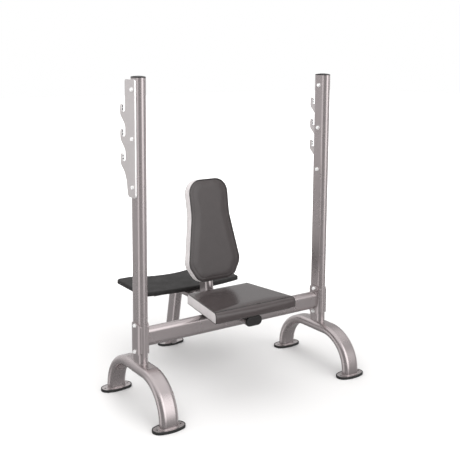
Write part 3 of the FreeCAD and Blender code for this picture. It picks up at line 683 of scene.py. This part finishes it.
def build_seat_side(side, sign, plan, half_at):
    """Light side panel with a soft bulge, and dark piping along its edge."""
    profile = inset(seat_profile(plan), SEAT_PANEL_INSET)
    middle = (plan["bottom"] + plan["top"]) / 2
    front, rear = profile[:, 0].min(), profile[:, 0].max()
    reach = (plan["top"] - plan["bottom"]) / 2
    along = np.clip(profile[:, 0], front + reach, rear - reach)
    spine = np.stack([along, np.full(len(profile), middle)], axis=1)
    rows = [[(sign * (half_at(y) - SEAT_PANEL_BACK), y, z) for y, z in profile]]
    for share, bulge in SEAT_PANEL_ROWS:
        path = profile + (spine - profile) * share
        rows.append([(sign * (half_at(y) - SEAT_PANEL_FACE + bulge), y, z) for y, z in path])
    mesh = capped_mesh("seat_side_" + side, np.array(rows))
    smooth(mesh)
    panel = new_object("seat_side_" + side, mesh)
    dress(panel, "light_vinyl", "seat_side_panel_" + side)
    build_seat_piping(side, sign, profile, half_at)


def build_seat_piping(side, sign, profile, half_at):
    """Dark piping round the edge of one side panel."""
    section = circle(SEAT_PIPING_R)
    path = inset(profile, -SEAT_PIPING_OUTSET)
    normal = outward(path)
    rows = np.empty((len(path), len(section), 3))
    for j, (out, across) in enumerate(section):
        flat = path + normal * out
        rows[:, j, 1:] = flat
        rows[:, j, 0] = sign * (half_at(flat[:, 0]) - SEAT_PIPING_PLACE + across)
    piping = new_object("seat_piping_" + side, ring_mesh("seat_piping_" + side, rows))
    dress(piping, "dark_vinyl", material=PIPING)


# ---- back pad ----

def back_outline():
    left = [(-x, y, radius) for x, y, radius in reversed(BACK_RIGHT_HALF)]
    return rounded_outline(BACK_RIGHT_HALF + left)


def back_frame():
    """Matrix from the pad's own frame (x across, y up the pad, z out of its face) to the bench."""
    up = np.array((0.0, math.sin(BACK_TILT), math.cos(BACK_TILT)))
    out = np.array((0.0, -math.cos(BACK_TILT), math.sin(BACK_TILT)))
    band = points_of(frame["nodes"]["back_side_band"].data)
    cushion = points_of(frame["nodes"]["back_cushion"].data)
    origin = up * ((band @ up).min() - BACK_BOTTOM) + out * (cushion @ out).max()
    matrix = Matrix.Identity(4)
    for row in range(3):
        matrix[row][1] = up[row]
        matrix[row][2] = out[row]
        matrix[row][3] = origin[row]
    thickness = (cushion @ out).max() - (cushion @ out).min()
    return matrix, thickness


def band_section(thick):
    """Section of the side band, (out, up) with the pad's face at 0: straight behind, bulged outside."""
    corners = [
        (-3.2 * MM, -thick, 1 * MM),
        (0.2 * MM, -thick, 1.5 * MM),
        (1.4 * MM, -thick / 2, 60 * MM),
        (0.4 * MM, -4 * MM, 3.5 * MM),
        (-3.6 * MM, -3 * MM, 0.4 * MM),
    ]
    return rounded_outline(corners, 48)


def build_back():
    matrix, thick = back_frame()
    outline = back_outline()
    core = inset(outline, BAND_THICK + BACK_FOAM_GAP)
    pad = prism("back_upholstery", core, -thick, -BACK_START_LOWER)
    remesh(pad, PAD_VOXEL)
    shoulder = inset(outline, BAND_THICK)

    def front(points):
        return points[:, 2] > -BACK_FACE_DEPTH

    def face(points):
        return front(points) & (distance_to(shoulder, points) > BACK_HELD_RIM)

    relax(pad, rounds=8, free=front)
    inflate(pad, face, BACK_PRESSURE, BACK_SWELL)
    relax(pad, rounds=6, free=front)
    subdivide(pad)
    seam = inset(outline, BACK_SEAM_INSET)

    def seam_distance(points):
        return np.where(front(points), distance_to(seam, points), FAR)

    press_line(pad, seam_distance, BACK_SEAM_DEPTH, BACK_SEAM_WIDTH)
    band = swept_ring("back_band", inset(outline, BAND_INSET), band_section(thick))
    front_section = circle(BACK_PIPING_R, count=14, centre=(0.0, -BACK_PIPING_DEPTH))
    rear_section = circle(BACK_REAR_PIPING_R, count=12, centre=(0.0, -thick + BACK_REAR_PIPING_LIFT))
    piping = swept_ring("back_piping_front", inset(outline, BACK_PIPING_INSET), front_section)
    rear = swept_ring("back_piping_rear", inset(outline, BACK_REAR_PIPING_INSET), rear_section)
    for piece in (pad, band, piping, rear):
        piece.matrix_world = matrix
    dress(pad, "dark_vinyl", "back_cushion", material=BACK_VINYL)
    dress(band, "light_vinyl", "back_side_band")
    dress(piping, "dark_vinyl", material=PIPING)
    dress(rear, "dark_vinyl", material=PIPING)


# ---- welds ----

def weld_ring(name, matrix):
    """Rippled weld bead round a flat-oval tube, in the plane that the matrix sets."""
    path = flat_oval(TUBE_WIDE, TUBE_NARROW, count=200)
    bead = swept_ring(name, path, circle(WELD_R, count=10))
    points = points_of(bead.data).reshape(len(path), -1, 3)
    ripple = 1 + WELD_RIPPLE * np.sin(np.arange(len(path)) * math.pi / 2)
    centre = np.concatenate([path, np.zeros((len(path), 1))], axis=1)[:, None, :]
    set_points(bead.data, (centre + (points - centre) * ripple[:, None, None]).reshape(-1, 3))
    bead.matrix_world = matrix
    return dress(bead, "frame_paint")


def build_welds():
    """Beads at the foot of each upright, at the beam's ends, and where the leg arches meet the feet."""
    quarter = math.pi / 2
    beam_low, beam_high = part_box("crossbeam")
    beam = (beam_low + beam_high) / 2
    for side, end_x in (("left", beam_low.x), ("right", beam_high.x)):
        low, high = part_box("upright_" + side)
        middle = (low + high) / 2
        upright_foot = Matrix.Translation((middle.x, middle.y, low.z))
        weld_ring("weld_upright_" + side, upright_foot @ Matrix.Rotation(quarter, 4, "Z"))
        beam_end = Matrix.Translation((end_x, beam.y, beam.z))
        weld_ring("weld_beam_" + side, beam_end @ Matrix.Rotation(quarter, 4, "Y"))
        for end in ("front", "rear"):
            low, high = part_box("foot_plate_%s_%s" % (end, side))
            place = (low + high) / 2
            weld_ring("weld_foot_%s_%s" % (end, side), Matrix.Translation((place.x, place.y, high.z)))


# ---- floor, lights and camera ----

FLOOR_SIZE = 60
FLOOR_DROP = 0.0005
FLOOR_ALBEDO = 0.67
FLOOR_NEAR = 1.25
FLOOR_FAR = 2.6


def build_floor():
    """Pale floor: real shading round the bench, fading to plain white further out."""
    bpy.ops.mesh.primitive_plane_add(size=FLOOR_SIZE, location=(0, 0, -FLOOR_DROP))
    floor = bpy.context.object
    floor.name = "studio_floor"
    floor.visible_glossy = False
    albedo = (FLOOR_ALBEDO, FLOOR_ALBEDO * 0.99, FLOOR_ALBEDO * 0.985)
    material, tree, surface = new_material("studio_floor", albedo, 0.8, Specular_IOR_Level=0.1,
                                           Emission_Strength=1.0)
    coords = add_node(tree, "ShaderNodeTexCoord").outputs["Object"]
    away = add_node(tree, "ShaderNodeVectorMath", operation="LENGTH")
    tree.links.new(coords, away.inputs[0])
    fade = add_node(tree, "ShaderNodeMapRange", interpolation_type="SMOOTHSTEP")
    tree.links.new(away.outputs["Value"], fade.inputs["Value"])
    fade.inputs["From Min"].default_value = FLOOR_NEAR
    fade.inputs["From Max"].default_value = FLOOR_FAR
    tree.links.new(fade.outputs["Result"], surface.inputs["Emission Color"])
    floor.data.materials.append(material)


def area_light(name, place, target, size, power):
    data = bpy.data.lights.new(name, "AREA")
    data.shape = "RECTANGLE"
    data.size, data.size_y = size
    data.energy = power
    lamp = bpy.data.objects.new(name, data)
    bpy.context.scene.collection.objects.link(lamp)
    lamp.location = place
    lamp.rotation_euler = (Vector(target) - Vector(place)).to_track_quat("-Z", "Y").to_euler()
    lamp.visible_glossy = False


# the studio's own grey, from straight down (-1) to straight up (1)
WORLD_BASE = [(-1.0, 0.28), (-0.35, 0.35), (-0.05, 0.33), (0.5, 0.30), (1.0, 0.30)]
# soft panels round the studio: azimuth and height in degrees, half width at full and at no strength,
# how far it is stretched upright, and its strength
PANELS = [
    (280, 22, 10, 37, 1.3, 2.5),
    (158, -4, 4, 30, 2.0, 1.0),
    (90, 26, 14, 52, 1.2, 0.6),
    (2, 0, 4, 34, 1.5, 0.6),
    (0, 90, 22, 62, 1.0, 1.0),
]


def panel(tree, coords, azimuth, height, inner, outer, tall, strength):
    """One soft light panel of the studio, seen in the direction that the angles give."""
    squeeze = add_node(tree, "ShaderNodeMapping", vector_type="VECTOR")
    squeeze.inputs["Scale"].default_value = (1.0, 1.0, 1.0 / tall)
    tree.links.new(coords, squeeze.inputs["Vector"])
    unit = add_node(tree, "ShaderNodeVectorMath", operation="NORMALIZE")
    tree.links.new(squeeze.outputs["Vector"], unit.inputs[0])
    turn, rise = math.radians(azimuth), math.radians(height)
    aim = Vector((math.cos(turn) * math.cos(rise), math.sin(turn) * math.cos(rise), math.sin(rise) / tall))
    near = add_node(tree, "ShaderNodeVectorMath", operation="DOT_PRODUCT")
    tree.links.new(unit.outputs["Vector"], near.inputs[0])
    near.inputs[1].default_value = aim.normalized()
    glow = add_node(tree, "ShaderNodeMapRange", interpolation_type="SMOOTHSTEP")
    tree.links.new(near.outputs["Value"], glow.inputs["Value"])
    glow.inputs["From Min"].default_value = math.cos(math.radians(outer))
    glow.inputs["From Max"].default_value = math.cos(math.radians(inner))
    glow.inputs["To Max"].default_value = strength
    return glow.outputs["Result"]


def build_world():
    """White to the camera; to everything that reflects it, a grey studio with soft light panels."""
    world = bpy.data.worlds.new("studio")
    bpy.context.scene.world = world
    world.use_nodes = True
    tree = world.node_tree
    background = tree.nodes["Background"]
    coords = add_node(tree, "ShaderNodeTexCoord").outputs["Generated"]
    height = add_node(tree, "ShaderNodeSeparateXYZ")
    tree.links.new(coords, height.inputs["Vector"])
    level = add_node(tree, "ShaderNodeMapRange")
    level.inputs["From Min"].default_value = -1.0
    tree.links.new(height.outputs["Z"], level.inputs["Value"])
    total = ramp(tree, level.outputs["Result"], [((place + 1) / 2, value) for place, value in WORLD_BASE])
    for settings in PANELS:
        sum_so_far = add_node(tree, "ShaderNodeMath", operation="ADD")
        tree.links.new(total, sum_so_far.inputs[0])
        tree.links.new(panel(tree, coords, *settings), sum_so_far.inputs[1])
        total = sum_so_far.outputs["Value"]
    paths = add_node(tree, "ShaderNodeLightPath")
    choice = add_node(tree, "ShaderNodeMix", data_type="RGBA")
    tree.links.new(paths.outputs["Is Camera Ray"], choice.inputs["Factor"])
    tree.links.new(total, choice.inputs[MIX_A])
    choice.inputs[MIX_B].default_value = (1, 1, 1, 1)
    tree.links.new(choice.outputs[MIX_RESULT], background.inputs["Color"])


# name, place, target, size and power in watts
LAMPS = [
    ("key", (-3.2, -2.6, 3.6), (0, 0, 0.7), (2.4, 2.4), 62),
    ("fill", (3.4, -2.6, 2.2), (0, 0, 0.7), (1.6, 2.4), 22),
    ("top", (-0.9, 0.4, 4.2), (0, 0.1, 0), (5.6, 5.2), 92),
    ("rear", (1.0, 4.2, 2.6), (0, 0, 0.7), (3.0, 1.8), 30),
]


def build_lights():
    for lamp in LAMPS:
        area_light(*lamp)


CAMERA_PLACE = (-2.360, -3.4865, 1.755)
CAMERA_YAW = math.radians(32.41)
CAMERA_PITCH = math.radians(7.52)
CAMERA_LENS = 59.86
CAMERA_SENSOR = 36
CAMERA_SHIFT = (0.0854, -0.1504)


def build_camera():
    data = bpy.data.cameras.new("camera")
    data.lens = CAMERA_LENS
    data.sensor_width = CAMERA_SENSOR
    data.shift_x, data.shift_y = CAMERA_SHIFT
    camera = bpy.data.objects.new("camera", data)
    bpy.context.scene.collection.objects.link(camera)
    camera.location = CAMERA_PLACE
    camera.rotation_euler = (math.pi / 2 - CAMERA_PITCH, 0, -CAMERA_YAW)
    bpy.context.scene.camera = camera


build_camera()
build_world()
build_lights()
build_floor()
dress_cad_nodes()
build_seat()
build_back()
build_welds()
bpy.context.scene.view_settings.view_transform = "Standard"
